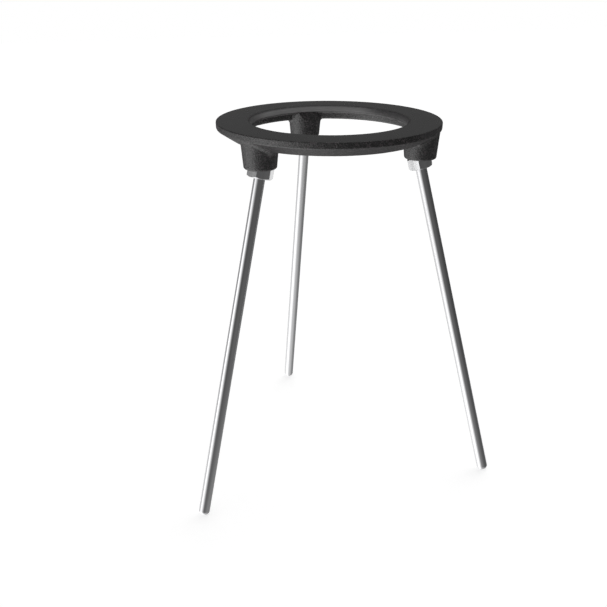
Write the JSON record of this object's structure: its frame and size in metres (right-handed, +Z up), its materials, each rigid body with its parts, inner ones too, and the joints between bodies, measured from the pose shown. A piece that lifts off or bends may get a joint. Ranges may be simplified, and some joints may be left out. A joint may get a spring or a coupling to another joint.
{
  "type": "laboratory tripod stand",
  "caption": "Laboratory tripod stand: a cast-iron ring on splayed round rod legs that screw into bosses and are locked by hex nuts.",
  "frame": {"origin": "on the bench, straight below the centre of the ring", "axes": "+Z up along the axis of the ring, +Y towards the rear leg, +X to the right of the side that faces the two front legs"},
  "size_m": [0.1836, 0.169, 0.2159],
  "materials": {
    "cast_black": "black satin finish over a fine cast grain",
    "rod_plated": "bright plated steel",
    "nut_plated": "bright plated steel"
  },
  "bodies": {
    "root": {"ring": "cast_black", "leg_left": "rod_plated", "leg_right": "rod_plated", "leg_rear": "rod_plated", "lock_nut_left": "nut_plated", "lock_nut_right": "nut_plated", "lock_nut_rear": "nut_plated"}
  },
  "joints": []
}
